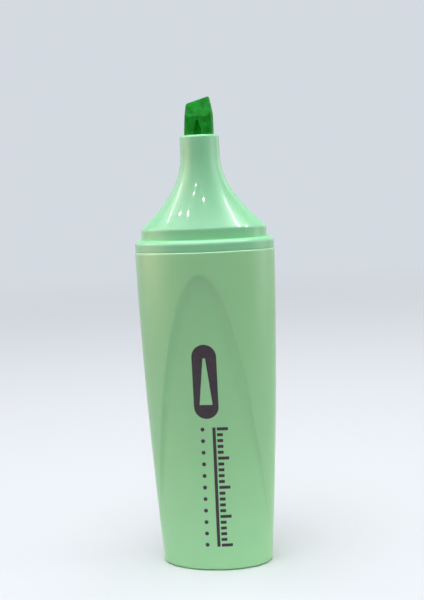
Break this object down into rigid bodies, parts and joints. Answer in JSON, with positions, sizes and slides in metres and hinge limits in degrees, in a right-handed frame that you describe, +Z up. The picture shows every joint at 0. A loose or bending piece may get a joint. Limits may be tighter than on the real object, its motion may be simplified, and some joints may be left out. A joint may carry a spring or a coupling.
{
  "type": "highlighter",
  "caption": "Flat oval chisel-tip highlighter, uncapped and standing on its tail, with a flared glossy nose section, a slanted felt nib and arch-shaped thumb panels.",
  "frame": {"origin": "centre of the flat tail face that the pen stands on", "axes": "+Z up the pen from the tail to the nib; X across the two wide faces, with the nib's high corner at +X; the printed wide face looks along -Y"},
  "size_m": [0.027, 0.0166, 0.0904],
  "materials": {
    "barrel_plastic": "satin pastel mint, moulded in one colour",
    "nose_plastic": "glossy pastel mint, moulded in one colour",
    "nib_felt": "bonded fibre soaked in green ink",
    "reservoir_fibre": "fibre rod soaked in green ink",
    "reservoir_wrap": "thin translucent film"
  },
  "bodies": {
    "root": {"barrel": "barrel_plastic", "nose": "nose_plastic", "nib": "nib_felt", "reservoir_core": "reservoir_fibre", "reservoir_film": "reservoir_wrap"}
  },
  "joints": []
}
